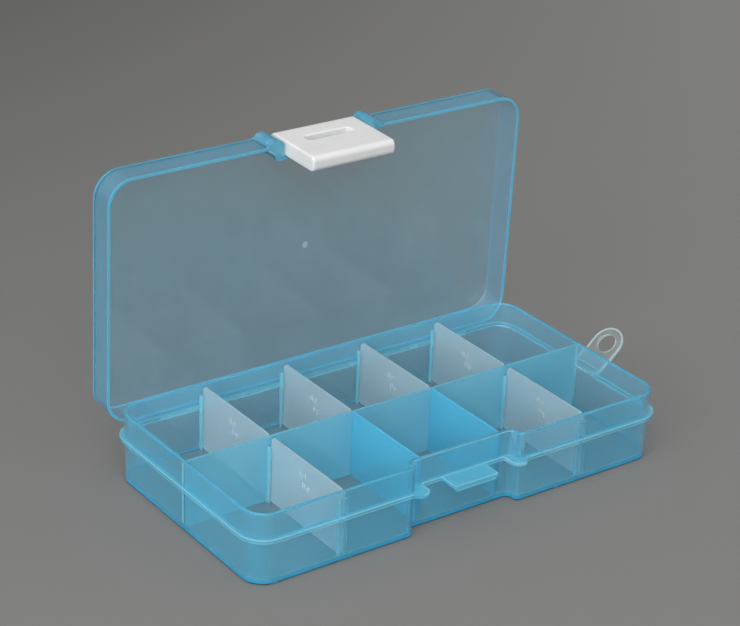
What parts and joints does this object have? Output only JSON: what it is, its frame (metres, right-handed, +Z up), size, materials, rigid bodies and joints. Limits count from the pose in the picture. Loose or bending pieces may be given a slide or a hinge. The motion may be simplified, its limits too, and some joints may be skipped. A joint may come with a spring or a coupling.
{
  "type": "bead organizer box",
  "caption": "Flat clear plastic box with two rows of small bays, loose dividers, a hinged clear lid, a snap latch and a hang tab.",
  "frame": {"origin": "centre of the tray's footprint, on the surface that the box stands on", "axes": "+X along the box towards the hang tab, +Y towards the lid's hinge, +Z up"},
  "size_m": [0.1445, 0.0815, 0.085],
  "materials": {
    "clear_blue": "clear, lightly blue polypropylene, smooth gloss",
    "milky": "translucent milky polypropylene, satin",
    "white": "opaque white plastic, satin gloss"
  },
  "bodies": {
    "tray": {"tray": "clear_blue", "hinge_film": "clear_blue"},
    "lid": {"lid": "clear_blue"},
    "latch": {"latch": "white"},
    "divider_back_1": {"divider_back_1": "milky"},
    "divider_back_2": {"divider_back_2": "milky"},
    "divider_back_3": {"divider_back_3": "milky"},
    "divider_back_4": {"divider_back_4": "milky"},
    "divider_front_1": {"divider_front_1": "milky"},
    "divider_front_2": {"divider_front_2": "milky"}
  },
  "joints": [
    {"name": "lid_hinge", "type": "hinge", "parent": "tray", "child": "lid", "pos_m": [0, 0.03522, 0.01305], "axis": [-1, 0, 0], "range_deg": [-88.7, 91.3]},
    {"name": "latch_hinge", "type": "hinge", "parent": "lid", "child": "latch", "pos_m": [0, 0.04, 0.08215], "axis": [-1, 0, 0], "range_deg": [0, 100]},
    {"name": "divider_back_1_lift", "type": "slide", "parent": "tray", "child": "divider_back_1", "axis": [0, 0, 1], "range_m": [0, 0.022]},
    {"name": "divider_back_2_lift", "type": "slide", "parent": "tray", "child": "divider_back_2", "axis": [0, 0, 1], "range_m": [0, 0.022]},
    {"name": "divider_back_3_lift", "type": "slide", "parent": "tray", "child": "divider_back_3", "axis": [0, 0, 1], "range_m": [0, 0.022]},
    {"name": "divider_back_4_lift", "type": "slide", "parent": "tray", "child": "divider_back_4", "axis": [0, 0, 1], "range_m": [0, 0.022]},
    {"name": "divider_front_1_lift", "type": "slide", "parent": "tray", "child": "divider_front_1", "axis": [0, 0, 1], "range_m": [0, 0.022]},
    {"name": "divider_front_2_lift", "type": "slide", "parent": "tray", "child": "divider_front_2", "axis": [0, 0, 1], "range_m": [0, 0.022]}
  ]
}
